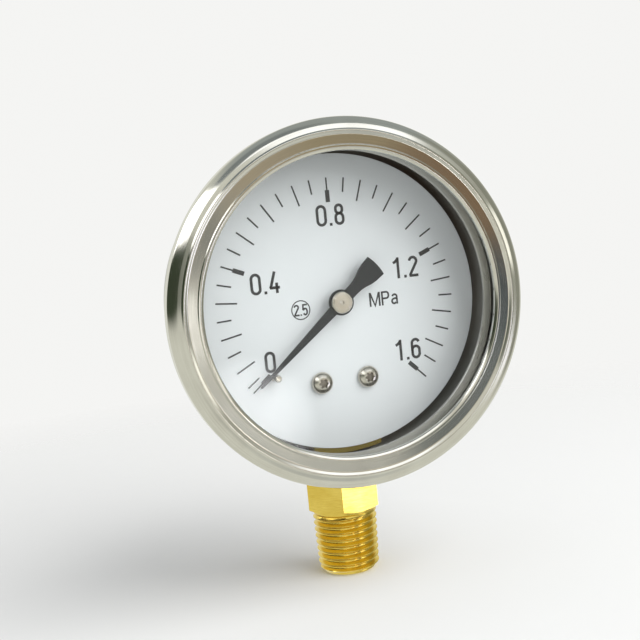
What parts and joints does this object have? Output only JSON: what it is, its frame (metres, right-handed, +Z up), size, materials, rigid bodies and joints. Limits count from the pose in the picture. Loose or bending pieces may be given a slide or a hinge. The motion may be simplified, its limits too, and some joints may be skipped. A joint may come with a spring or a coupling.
{
  "type": "pressure gauge",
  "caption": "Round dial pressure gauge with a steel case and rolled bezel, a glass window, a Bourdon tube movement and a threaded brass shank below.",
  "frame": {"origin": "on the thread's axis, at the lower end face of the shank", "axes": "+Z up along the shank to the dial's centre, -Y out of the dial towards the reader, +X to the reader's right"},
  "size_m": [0.069, 0.0326, 0.09],
  "materials": {
    "bezel_steel": "bright polished stainless steel",
    "case_steel": "drawn stainless steel, satin",
    "window_glass": "clear float glass",
    "rubber": "moulded black rubber",
    "dial_paint": "white satin enamel on aluminium",
    "pointer_paint": "satin black paint on aluminium",
    "nickel": "nickel-plated, turned",
    "brass": "bright machined brass",
    "bronze": "phosphor bronze, drawn"
  },
  "bodies": {
    "gauge_body": {"case": "case_steel", "bezel": "bezel_steel", "window": "window_glass", "window_gasket": "rubber", "relief_plug": "rubber", "socket_seal": "rubber", "dial": "dial_paint", "zero_stop_pin": "nickel", "dial_screw_left": "nickel", "dial_screw_right": "nickel", "hairspring": "bronze", "hairspring_stud": "brass", "bourdon_tube": "bronze", "movement_front_plate": "brass", "movement_back_plate": "brass", "movement_pillar_upper_left": "brass", "movement_pillar_upper_right": "brass", "movement_pillar_lower_left": "brass", "movement_pillar_lower_right": "brass", "movement_screw_left": "nickel", "movement_screw_right": "nickel", "socket": "brass", "restrictor_screw": "nickel", "case_screw_upper": "nickel", "case_screw_lower": "nickel"},
    "pointer_group": {"pointer": "pointer_paint", "pointer_hub": "nickel", "pinion_arbor": "nickel", "hairspring_collet": "brass"},
    "sector_group": {"sector_gear": "brass", "sector_arbor": "nickel", "sector_link_pin": "nickel"},
    "link_arm": {"link": "brass"},
    "tip_group": {"tube_tip": "brass", "tip_link_pin": "nickel"}
  },
  "joints": [
    {"name": "pointer_turn", "type": "hinge", "parent": "gauge_body", "child": "pointer_group", "pos_m": [0, -0.0115, 0.0555], "axis": [0, 1, 0], "range_deg": [0, 264.6], "stiffness_Nm_per_rad": 0.00002, "springref_deg": -28.65, "deforming": ["hairspring"]},
    {"name": "sector_swing", "type": "hinge", "parent": "gauge_body", "child": "sector_group", "pos_m": [0, -0.0048, 0.03975], "axis": [0, 1, 0], "range_deg": [-33.2, 0]},
    {"name": "link_swing", "type": "hinge", "parent": "sector_group", "child": "link_arm", "pos_m": [0.002, -0.0037, 0.03629], "axis": [0, 1, 0], "range_deg": [0, 31.7]},
    {"name": "tip_swing", "type": "hinge", "parent": "gauge_body", "child": "tip_group", "pos_m": [-0.00217, -0.0037, 0.0606], "axis": [0, 1, 0], "range_deg": [-5.9, 0], "deforming": ["bourdon_tube"]}
  ],
  "couplings": [
    {"joint": "sector_swing", "follows": "pointer_turn", "ratio": -0.125},
    {"joint": "link_swing", "follows": "pointer_turn", "ratio": 0.11906},
    {"joint": "tip_swing", "follows": "pointer_turn", "ratio": -0.02175}
  ]
}
